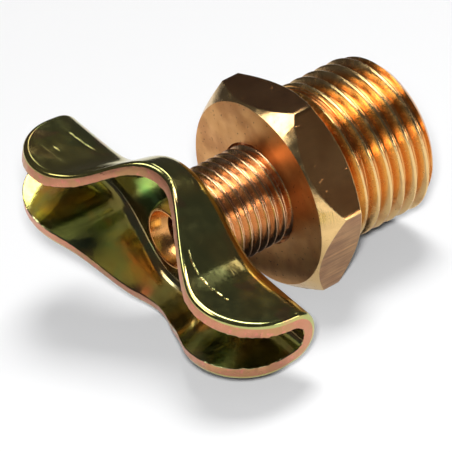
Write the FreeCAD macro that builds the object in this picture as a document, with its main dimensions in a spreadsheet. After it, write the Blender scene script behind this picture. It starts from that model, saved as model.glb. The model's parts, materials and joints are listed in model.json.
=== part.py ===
"""Radiator drain petcock, in millimetres.

A turned brass body screws into the radiator. A hollow brass spindle screws through the body and
carries a rubber seal at its inner end. A folded sheet wing is riveted to its outer end.
The origin is the centre of the sealing face, where the hexagon meets the body thread. +Y runs
along the spindle into the radiator. Taken out, it lies on the flat of the hexagon that faces -Z.
"""
import FreeCAD, Part
import math
import os
import re

import Sketcher
from FreeCAD import Vector

SIZES = {
    # hexagon and its chamfers
    "hex_flats": 19.0,
    "hex_thick": 4.75,
    "blank_spare": 0.4,
    "front_land_radius": 9.37,
    "front_chamfer_slope": 1.13,
    "seat_land_radius": 9.3,
    "seat_chamfer_slope": 0.64,
    # body thread, M16 x 1.5, with the relief beside the hexagon
    "body_thread_radius": 8.0,
    "body_pitch": 1.5,
    "body_thread_end": 10.8,
    "body_thread_start": 0.8,
    "body_chamfer": 0.95,
    "relief_depth": 0.95,
    "relief_length": 1.05,
    "relief_ramp": 0.55,
    # spindle thread, M10 x 1, and its fit in the body
    "spindle_radius": 4.98,
    "spindle_pitch": 1.0,
    "spindle_thread_start": -13.2,
    "spindle_thread_end": 1.0,
    "thread_gap": 0.06,
    "nut_end": 1.2,
    "mouth_radius": 5.3,
    # shares of the pitch and flank angle of a metric thread
    "crest_share": 0.125,
    "depth_share": 0.6134,
    "nut_depth_share": 0.52,
    "overcut_share": 0.05,
    "flank_angle": 30.0,
    # chamber, valve seat and inlet inside the body
    "chamber_radius": 5.25,
    "chamber_cone": 0.8,
    "seat_depth": 9.0,
    "inlet_radius": 3.0,
    "inlet_chamfer": 0.4,
    # bore, shank and side holes of the spindle
    "drain_radius": 2.0,
    "drain_end": 6.2,
    "drill_point": 0.8,
    "shank_radius": 4.0,
    "thread_runout": 0.7,
    "side_hole_radius": 1.2,
    "side_hole_place": 4.9,
    "edge_break": 0.25,
    # seal on the spindle tip
    "seal_radius": 4.4,
    "seal_thick": 1.36,
    "seal_neck_radius": 2.2,
    "seal_head_radius": 2.7,
    "seal_head_length": 0.9,
    "seal_gap": 0.02,
    "seal_bore_gap": 0.05,
    "seal_edge": 0.2,
    # wing: a flat blank folded into a hairpin across the spindle, turned a little about it
    "wing_turn": 15.3,
    "wing_back": -12.47,
    "wing_sheet": 1.5,
    "fold_radius": 1.2,
    "gap_middle": 6.85,
    "gap_tip": 1.38,
    "gap_spread": 6.45,
    "gap_power": 2.6,
    "lean_middle": 16.0,
    "lean_tip": 6.5,
    "lean_spread": 10.5,
    "lean_power": 3.0,
    "leaf_reach": 9.2,
    "wing_half_span": 18.0,
    "wing_spare": 0.75,
    # cut edge of each leaf, drawn on the fold's mid plane: a dip, a slope, a lobe and a round end
    "cut_lean": 12.0,
    "dip_depth": 5.87,
    "dip_radius": 5.5,
    "slope_fall": 23.708,
    "lobe_depth": 3.85,
    "lobe_radius": 6.15,
    # rivet at the outer end of the spindle
    "rivet_neck_radius": 3.0,
    "rivet_flats": 2.62,
    "rivet_gap": 0.03,
    "rivet_face_radius": 3.2,
    "rivet_base_radius": 3.5,
    "rivet_height": 1.54,
    "rivet_edge": 0.35,
    "flare_radius": 2.6,
    "flare_depth": 0.9,
}
WING_SECTIONS = 9

doc = FreeCAD.newDocument("drain_petcock")
sheet = doc.addObject("Spreadsheet::Sheet", "Sizes")
for row, (alias, value) in enumerate(SIZES.items(), start=1):
    sheet.set(f"A{row}", alias)
    sheet.set(f"B{row}", str(value))
    sheet.setAlias(f"B{row}", alias)
doc.recompute()


def bound(text):
    """The expression with each size written as a cell of the sheet."""
    return re.sub(r"\b(" + "|".join(SIZES) + r")\b", r"Sizes.\1", text)


def value_of(text):
    return float(sheet.evalExpression(text))


def origin_item(body, role):
    return next(item for item in body.Origin.OriginFeatures if item.Role == role)


def new_body(name):
    body = doc.addObject("PartDesign::Body", name)
    body.Label = name
    return body


def new_sketch(body, name, plane, offset=None):
    """A sketch on one of the body's own planes, moved along the plane's normal."""
    sketch = body.newObject("Sketcher::SketchObject", name)
    sketch.AttachmentSupport = [(origin_item(body, plane), "")]
    sketch.MapMode = "FlatFace"
    if offset:
        sketch.setExpression("AttachmentOffset.Base.z", bound(offset))
    return sketch


def hold(sketch, piece, end, x, y):
    """Bind one point of a sketch to two expressions of the sizes."""
    for kind, axis, text in (("DistanceX", -2, x), ("DistanceY", -1, y)):
        if text == "0":
            sketch.addConstraint(Sketcher.Constraint("PointOnObject", piece, end, axis))
            continue
        index = sketch.addConstraint(Sketcher.Constraint(kind, -1, 1, piece, end, value_of(text)))
        sketch.setExpression(f"Constraints[{index}]", bound(text))


def join(sketch, first, second):
    sketch.addConstraint(Sketcher.Constraint("Coincident", first, 2, second, 1))


def straight(sketch, start, end):
    return sketch.addGeometry(Part.LineSegment(Vector(*start, 0), Vector(*end, 0)))


def polygon(sketch, corners):
    """A closed outline of straight lines through corners given as pairs of expressions."""
    points = [Vector(value_of(x), value_of(y), 0) for x, y in corners]
    count = len(points)
    start = sketch.GeometryCount
    for index in range(count):
        sketch.addGeometry(Part.LineSegment(points[index], points[(index + 1) % count]))
    for index, (x, y) in enumerate(corners):
        join(sketch, start + index, start + (index + 1) % count)
        hold(sketch, start + index, 1, x, y)


def flatted_circle(sketch, radius, flat):
    """A circle about the origin with a flat above and below."""
    reach = value_of(radius)
    rise = value_of(flat)
    run = math.sqrt(reach * reach - rise * rise)
    turn = math.asin(rise / reach)
    circle = Part.Circle(Vector(0, 0, 0), Vector(0, 0, 1), reach)
    right = sketch.addGeometry(Part.ArcOfCircle(circle, -turn, turn))
    top = sketch.addGeometry(Part.LineSegment(Vector(run, rise, 0), Vector(-run, rise, 0)))
    left = sketch.addGeometry(Part.ArcOfCircle(circle, math.pi - turn, math.pi + turn))
    bottom = sketch.addGeometry(Part.LineSegment(Vector(-run, -rise, 0), Vector(run, -rise, 0)))
    for first, second in ((right, top), (top, left), (left, bottom), (bottom, right)):
        join(sketch, first, second)
    for arc in (right, left):
        sketch.addConstraint(Sketcher.Constraint("Coincident", arc, 3, -1, 1))
    sketch.addConstraint(Sketcher.Constraint("Horizontal", top))
    sketch.addConstraint(Sketcher.Constraint("Horizontal", bottom))
    for kind, piece, end, text in (
        ("Radius", right, 0, radius),
        ("Radius", left, 0, radius),
        ("DistanceY", top, 1, flat),
        ("DistanceY", bottom, 1, f"0 - {flat}"),
    ):
        amount = value_of(text)
        if kind == "Radius":
            rule = Sketcher.Constraint(kind, piece, amount)
        else:
            rule = Sketcher.Constraint(kind, -1, 1, piece, end, amount)
        index = sketch.addConstraint(rule)
        sketch.setExpression(f"Constraints[{index}]", bound(text))


def revolve(body, name, corners):
    """A solid turned about Y from corners given as radius and place along Y."""
    sketch = new_sketch(body, f"{name}_profile", "XY_Plane")
    polygon(sketch, corners)
    turned = body.newObject("PartDesign::Revolution", name)
    turned.Profile = sketch
    turned.ReferenceAxis = (sketch, ["V_Axis"])
    turned.Angle = 360
    return turned


def thread(body, name, corners, pitch, length):
    """Cut a right-hand thread groove, whose section starts below the axis, along +Y."""
    sketch = new_sketch(body, f"{name}_profile", "YZ_Plane")
    polygon(sketch, [(along, f"0 - ({radius})") for radius, along in corners])
    groove = body.newObject("PartDesign::SubtractiveHelix", name)
    groove.Profile = sketch
    groove.ReferenceAxis = (sketch, ["H_Axis"])
    groove.Mode = 0
    groove.LeftHanded = False
    groove.setExpression("Pitch", bound(pitch))
    groove.setExpression("Height", bound(length))
    return groove


def pocket(body, name, sketch, length=None):
    """A cut of the given length, or right through both ways where none is given."""
    cut = body.newObject("PartDesign::Pocket", name)
    cut.Profile = sketch
    if length:
        cut.setExpression("Length", bound(length))
    else:
        cut.Type = "ThroughAll"
        cut.Midplane = True
    return cut


def male_groove(radius, pitch, start):
    """Corners of the groove between two ridges of an outside thread."""
    top = f"{radius} + overcut_share * {pitch}"
    top_half = f"({pitch} * (1 - crest_share) / 2 + overcut_share * {pitch} * tan(flank_angle))"
    root = f"{radius} - depth_share * {pitch}"
    root_half = f"({pitch} * (1 - crest_share) / 2 - depth_share * {pitch} * tan(flank_angle))"
    return [
        (top, f"{start} - {top_half}"),
        (root, f"{start} - {root_half}"),
        (root, f"{start} + {root_half}"),
        (top, f"{start} + {top_half}"),
    ]


def female_groove(radius, pitch, start):
    """Corners of the groove that holds a ridge of that outside thread, with the thread gap."""
    depth = f"(nut_depth_share + overcut_share) * {pitch}"
    inner = f"{radius} - {depth}"
    inner_half = f"({pitch} * crest_share / 2 + {depth} * tan(flank_angle) + thread_gap)"
    outer = f"{radius} + thread_gap"
    outer_half = f"({pitch} * crest_share / 2 - thread_gap * tan(flank_angle) + thread_gap)"
    return [
        (inner, f"{start} - {inner_half}"),
        (outer, f"{start} - {outer_half}"),
        (outer, f"{start} + {outer_half}"),
        (inner, f"{start} + {inner_half}"),
    ]


def make_hex_body():
    body = new_body("hex_body")
    corner = "hex_flats / 2 / cos(30)"
    blank_radius = f"({corner} + blank_spare)"
    relief_radius = "body_thread_radius - relief_depth"
    nut_radius = "spindle_radius - nut_depth_share * spindle_pitch"
    revolve(body, "turned_body", [
        ("mouth_radius", "0 - hex_thick"),
        ("front_land_radius", "0 - hex_thick"),
        (blank_radius, f"({blank_radius} - front_land_radius) * front_chamfer_slope - hex_thick"),
        (blank_radius, f"(seat_land_radius - {blank_radius}) * seat_chamfer_slope"),
        ("seat_land_radius", "0"),
        (relief_radius, "0"),
        (relief_radius, "relief_length"),
        ("body_thread_radius", "relief_length + relief_ramp"),
        ("body_thread_radius", "body_thread_end - body_chamfer"),
        ("body_thread_radius - body_chamfer", "body_thread_end"),
        ("inlet_radius + inlet_chamfer", "body_thread_end"),
        ("inlet_radius", "body_thread_end - inlet_chamfer"),
        ("inlet_radius", "seat_depth"),
        ("chamber_radius", "seat_depth"),
        ("chamber_radius", "nut_end + chamber_cone"),
        (nut_radius, "nut_end"),
        (nut_radius, f"mouth_radius - ({nut_radius}) - hex_thick"),
    ])
    around = new_sketch(body, "hexagon", "XZ_Plane")
    polygon(around, [
        (f"{corner} * cos({60 * side})", f"{corner} * sin({60 * side})")
        for side in range(6)
    ])
    ring = around.addGeometry(Part.Circle(Vector(0, 0, 0), Vector(0, 0, 1), value_of("hex_flats")))
    around.addConstraint(Sketcher.Constraint("Coincident", ring, 3, -1, 1))
    width = around.addConstraint(Sketcher.Constraint("Radius", ring, value_of("hex_flats")))
    around.setExpression(f"Constraints[{width}]", bound("hex_flats"))
    pocket(body, "hex_flats_cut", around)
    thread(
        body, "body_thread",
        male_groove("body_thread_radius", "body_pitch", "body_thread_start"),
        "body_pitch", "body_thread_end - body_thread_start + body_pitch",
    )
    turns_outside = "floor((0 - hex_thick - spindle_thread_start) / spindle_pitch)"
    nut_start = f"(spindle_thread_start + spindle_pitch * ({turns_outside} - 1 / 2))"
    thread(
        body, "nut_thread",
        female_groove("spindle_radius", "spindle_pitch", nut_start),
        "spindle_pitch", f"nut_end + chamber_cone + spindle_pitch - {nut_start}",
    )
    return body


def make_spindle():
    body = new_body("spindle")
    sheet_face = "wing_back - wing_sheet"
    shoulder = "seat_depth - seal_thick - 2 * seal_gap"
    root_depth = "depth_share * spindle_pitch"
    revolve(body, "turned_spindle", [
        ("flare_radius", f"{sheet_face} - rivet_height"),
        ("rivet_face_radius - rivet_edge", f"{sheet_face} - rivet_height"),
        ("rivet_face_radius", f"{sheet_face} - rivet_height + rivet_edge"),
        ("rivet_base_radius", f"{sheet_face} - rivet_edge"),
        ("rivet_base_radius", sheet_face),
        ("rivet_neck_radius", sheet_face),
        ("rivet_neck_radius", "wing_back"),
        (f"spindle_radius - {root_depth}", "wing_back"),
        ("spindle_radius", f"wing_back + {root_depth}"),
        ("spindle_radius", "spindle_thread_end"),
        ("shank_radius", "spindle_thread_end + thread_runout"),
        ("shank_radius", f"{shoulder} - edge_break"),
        ("shank_radius - edge_break", shoulder),
        ("seal_neck_radius", shoulder),
        ("seal_neck_radius", "seat_depth"),
        ("seal_head_radius", "seat_depth"),
        ("seal_head_radius", "seat_depth + seal_head_length - edge_break"),
        ("seal_head_radius - edge_break", "seat_depth + seal_head_length"),
        ("0", "seat_depth + seal_head_length"),
        ("0", "drain_end + drill_point"),
        ("drain_radius", "drain_end"),
        ("drain_radius", f"{sheet_face} - rivet_height + flare_depth"),
    ])
    flats = new_sketch(body, "rivet_flats_outline", "XZ_Plane", f"0 - ({sheet_face})")
    for side in ("", "0 - "):
        polygon(flats, [
            ("0 - rivet_base_radius", f"{side}rivet_flats"),
            ("rivet_base_radius", f"{side}rivet_flats"),
            ("rivet_base_radius", f"{side}rivet_base_radius"),
            ("0 - rivet_base_radius", f"{side}rivet_base_radius"),
        ])
    flats.AttachmentOffset = FreeCAD.Placement(Vector(), FreeCAD.Rotation(Vector(0, 0, 1), 0))
    flats.setExpression("AttachmentOffset.Rotation.Angle", bound("0 - wing_turn"))
    pocket(body, "rivet_flats_cut", flats, "wing_sheet")
    for plane in ("XY_Plane", "YZ_Plane"):
        side_hole = new_sketch(body, f"side_hole_{plane[:2]}", plane)
        place = ("0", "side_hole_place") if plane == "XY_Plane" else ("side_hole_place", "0")
        middle = Vector(*(value_of(text) for text in place), 0)
        circle = side_hole.addGeometry(Part.Circle(middle, Vector(0, 0, 1), value_of("side_hole_radius")))
        hold(side_hole, circle, 3, *place)
        width = side_hole.addConstraint(
            Sketcher.Constraint("Radius", circle, value_of("side_hole_radius")))
        side_hole.setExpression(f"Constraints[{width}]", bound("side_hole_radius"))
        pocket(body, f"side_hole_cut_{plane[:2]}", side_hole)
    thread(
        body, "spindle_thread",
        male_groove("spindle_radius", "spindle_pitch", "spindle_thread_start"),
        "spindle_pitch", "spindle_thread_end + thread_runout - spindle_thread_start",
    )
    return body


def make_tip_seal():
    body = new_body("tip_seal")
    back = "seat_depth - seal_thick - seal_gap"
    front = "seat_depth - seal_gap"
    bore = "seal_neck_radius + seal_bore_gap"
    revolve(body, "seal_ring", [
        (bore, back),
        ("seal_radius - seal_edge", back),
        ("seal_radius", f"{back} + seal_edge"),
        ("seal_radius", f"{front} - seal_edge"),
        ("seal_radius - seal_edge", front),
        (bore, front),
    ])
    return body


def hairpin_section(body, name, number):
    """Closed section of the folded sheet, counted outwards from the middle of the wing."""
    away = f"({abs(number)} / {WING_SECTIONS} * (wing_half_span + wing_spare))"
    share = f"exp(0 - ({away} / gap_spread) ^ gap_power)"
    gap = f"(gap_tip + (gap_middle - gap_tip) * {share})"
    lean_share = f"exp(0 - ({away} / lean_spread) ^ lean_power)"
    lean = f"(lean_tip + (lean_middle - lean_tip) * {lean_share})"
    inner_face = "wing_back - wing_sheet"
    bend_y = f"({inner_face} - fold_radius)"
    bend_z = f"({gap} - fold_radius)"
    tip_y = f"({inner_face} - leaf_reach)"
    sketch = new_sketch(body, name, "YZ_Plane", away if number > 0 else f"0 - {away}")

    def wall(radius):
        """Lines and arcs of one face of the sheet, from the upper tip round to the lower tip."""
        face_y = f"({bend_y} + {radius})"
        foot_y = f"({bend_y} + {radius} * sin({lean}))"
        foot_z = f"({bend_z} + {radius} * cos({lean}))"
        tip_z = f"({foot_z} + ({foot_y} - {tip_y}) * tan({lean}))"
        y = {key: value_of(text) for key, text in
             {"tip": tip_y, "foot": foot_y, "bend": bend_y, "face": face_y}.items()}
        z = {key: value_of(text) for key, text in
             {"tip": tip_z, "foot": foot_z, "bend": bend_z}.items()}
        turn = math.radians(90 - value_of(lean))
        reach = value_of(radius)
        first = sketch.GeometryCount
        up = Part.Circle(Vector(y["bend"], z["bend"], 0), Vector(0, 0, 1), reach)
        down = Part.Circle(Vector(y["bend"], -z["bend"], 0), Vector(0, 0, 1), reach)
        tip = (y["tip"], z["tip"])
        foot = (y["foot"], z["foot"])
        face = (y["face"], z["bend"])
        straight(sketch, tip, foot)
        sketch.addGeometry(Part.ArcOfCircle(up, 0, turn))
        straight(sketch, face, (face[0], -face[1]))
        sketch.addGeometry(Part.ArcOfCircle(down, -turn, 0))
        straight(sketch, (foot[0], -foot[1]), (tip[0], -tip[1]))
        sketch.addConstraint(Sketcher.Constraint("Tangent", first, 2, first + 1, 2))
        sketch.addConstraint(Sketcher.Constraint("Coincident", first + 1, 1, first + 2, 1))
        sketch.addConstraint(Sketcher.Constraint("Coincident", first + 2, 2, first + 3, 2))
        sketch.addConstraint(Sketcher.Constraint("Tangent", first + 3, 1, first + 4, 1))
        hold(sketch, first, 1, tip_y, tip_z)
        hold(sketch, first + 1, 3, bend_y, bend_z)
        hold(sketch, first + 2, 1, face_y, bend_z)
        hold(sketch, first + 2, 2, face_y, f"0 - {bend_z}")
        hold(sketch, first + 3, 3, bend_y, f"0 - {bend_z}")
        hold(sketch, first + 4, 2, tip_y, f"0 - {tip_z}")
        return first

    inner = wall("fold_radius")
    outer = wall("(fold_radius + wing_sheet)")
    for end, first, second in ((1, inner, outer), (2, inner + 4, outer + 4)):
        tip = [sketch.Geometry[piece].StartPoint if end == 1 else sketch.Geometry[piece].EndPoint
               for piece in (first, second)]
        line = sketch.addGeometry(Part.LineSegment(*tip))
        sketch.addConstraint(Sketcher.Constraint("Coincident", line, 1, first, end))
        sketch.addConstraint(Sketcher.Constraint("Coincident", line, 2, second, end))
    return sketch


def leaf_edge_cut(body):
    """Everything outside the blank's edge, for the upper half on the +X side.

    The slope leaves the lobe where the lobe falls by slope_fall, and touches the dip.
    """
    sketch = new_sketch(body, "leaf_edge", "XY_Plane")
    dip_y = "(wing_back - dip_depth)"
    dip_centre_y = f"({dip_y} - dip_radius)"
    lobe_x = "(wing_half_span - lobe_radius)"
    lobe_y = "(wing_back - lobe_depth)"
    foot_x = f"({lobe_x} - lobe_radius * sin(slope_fall))"
    foot_y = f"({lobe_y} - lobe_radius * cos(slope_fall))"
    clear_of_leaf = "(leaf_reach + gap_middle)"
    far_x = "(wing_half_span + 2 * wing_spare)"
    far_y = f"(wing_back - {clear_of_leaf})"
    back_y = "(wing_back + wing_spare)"
    dip_centre = Vector(0, value_of(dip_centre_y), 0)
    lobe_centre = Vector(value_of(lobe_x), value_of(lobe_y), 0)
    dip_radius = value_of("dip_radius")
    lobe_radius = value_of("lobe_radius")
    foot = Vector(value_of(foot_x), value_of(foot_y), 0)
    between = foot - dip_centre
    lean = math.atan2(between.y, between.x) + math.acos(dip_radius / between.Length)
    normal = Vector(math.cos(lean), math.sin(lean), 0)
    start = math.radians(270 - value_of("slope_fall"))
    up = Vector(0, 0, 1)
    dip = sketch.addGeometry(
        Part.ArcOfCircle(Part.Circle(dip_centre, up, dip_radius), lean, math.pi / 2))
    slope = sketch.addGeometry(Part.LineSegment(dip_centre + normal * dip_radius, foot))
    lobe = sketch.addGeometry(
        Part.ArcOfCircle(Part.Circle(lobe_centre, up, lobe_radius), start, 2 * math.pi))
    corners = [
        ("wing_half_span", lobe_y), ("wing_half_span", back_y), (far_x, back_y),
        (far_x, far_y), ("0", far_y), ("0", dip_y),
    ]
    points = [Vector(value_of(x), value_of(y), 0) for x, y in corners]
    sides = [sketch.addGeometry(Part.LineSegment(*pair)) for pair in zip(points, points[1:])]
    sketch.addConstraint(Sketcher.Constraint("Tangent", dip, 1, slope, 1))
    join(sketch, slope, lobe)
    join(sketch, lobe, sides[0])
    for first, second in zip(sides, sides[1:]):
        join(sketch, first, second)
    sketch.addConstraint(Sketcher.Constraint("Coincident", sides[-1], 2, dip, 2))
    hold(sketch, dip, 3, "0", dip_centre_y)
    hold(sketch, lobe, 3, lobe_x, lobe_y)
    foot_hold = sketch.addConstraint(Sketcher.Constraint("DistanceX", -1, 1, lobe, 1, foot.x))
    sketch.setExpression(f"Constraints[{foot_hold}]", bound(foot_x))
    for side, (x, y) in zip(sides, corners):
        hold(sketch, side, 1, x, y)
    hold(sketch, sides[-1], 2, *corners[-1])
    cut = pocket(body, "leaf_edge_cut", sketch, clear_of_leaf)
    cut.UseCustomVector = True
    cut.setExpression("Direction.x", "0")
    cut.setExpression("Direction.y", bound("sin(cut_lean)"))
    cut.setExpression("Direction.z", bound("cos(cut_lean)"))
    return cut


def make_wing():
    body = new_body("wing_handle")
    sections = [
        hairpin_section(body, f"fold_section_{WING_SECTIONS + number}", number)
        for number in range(-WING_SECTIONS, WING_SECTIONS + 1)
    ]
    folded = body.newObject("PartDesign::AdditiveLoft", "folded_sheet")
    folded.Profile = sections[0]
    folded.Sections = sections[1:]
    folded.Ruled = False
    cut = leaf_edge_cut(body)
    mirrors = []
    for plane in ("XY_Plane", "YZ_Plane"):
        mirror = doc.addObject("PartDesign::Mirrored", f"leaf_mirror_{plane[:2]}")
        mirror.MirrorPlane = (origin_item(body, plane), [""])
        mirrors.append(mirror)
    pattern = body.newObject("PartDesign::MultiTransform", "leaf_edges")
    pattern.Originals = [cut]
    pattern.Transformations = mirrors
    body.Tip = pattern
    hole = new_sketch(body, "rivet_hole", "XZ_Plane", "0 - wing_back")
    flatted_circle(hole, "(rivet_neck_radius + rivet_gap)", "(rivet_flats + rivet_gap)")
    pocket(body, "rivet_hole_cut", hole)
    body.Placement = FreeCAD.Placement(Vector(), FreeCAD.Rotation(Vector(0, 1, 0), 0))
    body.setExpression("Placement.Rotation.Angle", bound("wing_turn"))
    return body


def check_and_write(pieces):
    """Stop on any failed feature or bad solid, then write one file for each piece."""
    for item in doc.Objects:
        if "Invalid" in item.State or "Error" in item.State:
            raise RuntimeError(f"{item.Name} failed: {item.getStatusString()}")
    for name, body in pieces.items():
        shape = body.Shape
        if shape.isNull() or not shape.isValid() or len(shape.Solids) != 1:
            raise RuntimeError(f"{name} is not one valid solid")
    os.makedirs("parts", exist_ok=True)
    for name, body in pieces.items():
        body.Shape.exportStep(f"parts/{name}.step")


PIECES = {
    "hex_body": make_hex_body(),
    "spindle": make_spindle(),
    "tip_seal": make_tip_seal(),
    "wing_handle": make_wing(),
}
doc.recompute()
check_and_write(PIECES)
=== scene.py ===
"""Looks of a radiator drain petcock: turned brass, yellow-plated folded wing, soft studio light."""
import json
import math

import bmesh
import bpy
from mathutils import Matrix, Vector, kdtree, noise


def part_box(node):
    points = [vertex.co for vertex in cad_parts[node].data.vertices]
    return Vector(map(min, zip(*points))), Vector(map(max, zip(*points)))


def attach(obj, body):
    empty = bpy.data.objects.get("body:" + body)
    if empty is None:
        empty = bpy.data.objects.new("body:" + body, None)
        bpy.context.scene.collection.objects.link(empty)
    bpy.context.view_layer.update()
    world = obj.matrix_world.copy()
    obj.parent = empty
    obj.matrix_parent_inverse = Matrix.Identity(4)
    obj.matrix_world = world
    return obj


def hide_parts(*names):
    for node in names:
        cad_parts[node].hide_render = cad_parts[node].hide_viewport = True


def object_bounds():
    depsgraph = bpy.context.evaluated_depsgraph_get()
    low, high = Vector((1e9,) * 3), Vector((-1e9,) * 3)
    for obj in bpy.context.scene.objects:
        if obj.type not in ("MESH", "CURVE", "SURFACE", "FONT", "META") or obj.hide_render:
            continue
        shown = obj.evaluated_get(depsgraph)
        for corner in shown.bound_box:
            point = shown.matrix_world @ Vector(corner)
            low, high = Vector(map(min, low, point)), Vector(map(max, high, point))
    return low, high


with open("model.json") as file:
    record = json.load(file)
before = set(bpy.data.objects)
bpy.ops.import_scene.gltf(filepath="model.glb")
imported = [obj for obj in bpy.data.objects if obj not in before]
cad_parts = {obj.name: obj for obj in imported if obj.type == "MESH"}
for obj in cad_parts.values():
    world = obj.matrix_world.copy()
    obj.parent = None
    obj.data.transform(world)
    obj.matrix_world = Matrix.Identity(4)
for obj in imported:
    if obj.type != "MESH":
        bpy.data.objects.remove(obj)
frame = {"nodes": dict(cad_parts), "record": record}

bl_info = {
    "name": "Radiator drain petcock",
    "version": (1, 0, 0),
    "blender": (4, 5, 0),
    "location": "3D View > Sidebar > Petcock",
    "description": "Builds the visible pieces of a drain petcock and a small studio around it",
    "category": "Object",
}

MM = 0.001
FULL_TURN = 2 * math.pi
CAD_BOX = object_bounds()
BODY_LOW, BODY_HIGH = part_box("hex_body")
SPINDLE_LOW, SPINDLE_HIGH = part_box("spindle")
WING_LOW, WING_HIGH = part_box("wing_handle")
SEAL_LOW, SEAL_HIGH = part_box("tip_seal")
MOUNTS = {mount["name"]: mount for mount in frame["record"]["mounts"]}

TOUCH = MM * 1e-3
EDGE_SAMPLES = 2400
HALVINGS = 40
# Creases over these angles are shaded sharp, or worn round on the hexagon
SHARP_ANGLE = math.radians(40)
WORN_ANGLE = 0.2

# Stains, painted glows and a nearly black patch inside the wing: tint, middle and reach, in
# millimetres
WING_STAINS_AND_PAINTED_GLOWS = (
    # Painted glow: a pale green highlight beside the spindle.
    ("pale_green_painted_glow", (-4.3, -14, 2.6), 3.2),
    ("blush", (-3.7, -16.7, -6.3), 1.2),
    ("rust", (-5, -16, -4.8), 3.2),
    # A nearly black patch on the lower leaf's inside.
    ("near_black_patch", (-8.2, -18.8, -1.3), 2.6),
    # Painted glow: a bright yellow highlight on the lower leaf's end.
    ("lemon_painted_glow", (-15.2, -20.8, 1.8), 2.8),
)
# Scratches outside the wing: ends on the flat sheet, in millimetres
WING_SCRATCHES = (
    ((6.8, 8.7), (13.2, 7.0)),
    ((-15.2, 3.7), (-11.4, 3.5)),
    ((-14.2, 6.4), (-13, 6.3)),
)
SCRATCH_WIDTH = 0.16
SCRATCH_DEPTH = 0.05

FLOOR_HALF = 0.6
CAMERA_SENSOR = 36
CAMERA_RANGE = (0.01, 5)
# Lights: direction from the part, size in metres and power in watts
PAPER_DISTANCE = 0.6
PAPER_LIGHTS = {
    "paper_light": ((0.7, -0.48, 0.53), (0.06, 0.06), 4.0),
    "paper_fill": ((-0.25, 0.35, 1), (0.25, 0.25), 2.1),
}
MIRROR_DISTANCE = 0.5
MIRRORED_LIGHTS = {
    "key": ((-0.12, -0.62, 0.75), (0.26, 0.2), 0.75),
    "band_high": ((0.07, 0.08, 0.99), (0.13, 0.4), 1.7),
    "band_low": ((0.86, 0.49, 0.16), (0.3, 0.06), 0.42),
    "streak": ((-0.05, 0.71, 0.64), (0.12, 0.03), 0.02),
    "spot_left": ((-0.58, 0.48, 0.66), (0.04, 0.04), 0.02),
    "end_glow": ((-0.364, 0.322, 0.873), (0.1, 0.1), 0.2),
}
BACKDROP = (0.055, 0.055, 0.06, 1)


def length(note, default):
    return bpy.props.FloatProperty(description=note, default=default * MM, unit="LENGTH")


def angle(note, default):
    return bpy.props.FloatProperty(
        description=note, default=math.radians(default), unit="ROTATION")


def share(note, default):
    return bpy.props.FloatProperty(description=note, default=default)


def colour(note, default):
    return bpy.props.FloatVectorProperty(
        description=note, default=default, subtype="COLOR", min=0, max=1)


class PetcockThread(bpy.types.PropertyGroup):
    crest: share("Flat of a crest as a share of the pitch", 0.125)
    depth: share("Depth of an outside thread as a share of the pitch", 0.6134)
    nut_depth: share("Depth of the inside thread as a share of the pitch", 0.52)
    flank: angle("Half the angle between two flanks", 30)
    softness: share("Rounding of crests and roots as a share of the pitch", 0.028)
    gap: length("Clearance between the two threads", 0.06)


class PetcockBody(bpy.types.PropertyGroup):
    pitch: length("Pitch of the outside thread", 1.5)
    start: length("Place of a groove straight below the axis", 1.52)
    relief: length("Depth of the relief beside the hexagon", 0.95)
    relief_end: length("End of the relief's floor", 1.05)
    relief_ramp: length("Length of the slope from the relief up to the thread", 0.55)
    chamfer: length("Chamfer at the end of the thread", 0.95)
    front_land: length("Radius of the flat front face", 9.37)
    front_slope: share("Rise of the front chamfer for its run", 1.13)
    seat_land: length("Radius of the sealing face", 9.3)
    seat_slope: share("Rise of the rear chamfer for its run", 0.64)
    mouth: length("Radius of the countersunk mouth", 5.2)
    chamber: length("Radius of the chamber behind the nut thread", 5.25)
    nut_end: length("End of the nut thread", 1.2)
    nut_step: length("Step from the nut thread's end out to the chamber", 0.3)
    inlet: length("Radius of the inlet", 3.0)
    inlet_edge: length("Chamfer of the inlet", 0.4)
    worn_edge: length("Rounding of the hexagon's edges", 0.07)
    chatter: length("Depth of the chatter lines in the first groove", 0.035)
    chatter_step: length("Distance between two chatter lines", 0.15)
    chatter_start: length("Place where the chatter lines start", 1.95)
    chatter_end: length("Place where the chatter lines end", 2.85)


class PetcockSpindle(bpy.types.PropertyGroup):
    pitch: length("Pitch of the spindle's thread", 1.0)
    start: length("Place of a groove straight below the axis", -13.73)
    thread_end: length("Place where the full thread ends", 1.0)
    runout: length("Length of the slope from the thread down to the shank", 0.7)
    shank: length("Radius of the plain shank", 4.0)
    edge: length("Small chamfers and roundings", 0.25)
    neck: length("Radius of the neck in the wing's hole", 3.0)
    flats: length("Half the size across the neck's flats", 2.62)
    rivet_base: length("Radius of the riveted ring where it meets the wing", 3.5)
    rivet_face: length("Radius of the riveted ring's end", 3.2)
    rivet_edge: length("Height of the ring's straight edge", 0.35)
    rivet_round: length("Step of the rounding at the ring's end", 0.1)
    flare: length("Radius of the bore's flared mouth", 2.85)
    flare_lip: length("Width of the rounding at the flare", 0.15)
    flare_round: length("Depth of the rounding at the flare", 0.08)
    flare_taper: length("Narrowing of the flare's wall", 0.3)
    flare_depth: length("Depth of the flare", 1.55)
    drill_end: length("Place where the bore ends", 6.2)
    drill_point: length("Height of the cone at the bore's end", 0.8)
    side_hole: length("Radius of a side hole", 1.2)
    side_place: length("Place of the side holes along the axis", 4.9)
    seal_neck: length("Radius of the neck that carries the seal", 2.2)
    seal_head: length("Radius of the head that keeps the seal on", 2.7)
    seal_gap: length("Clearance on each side of the seal", 0.02)


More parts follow.
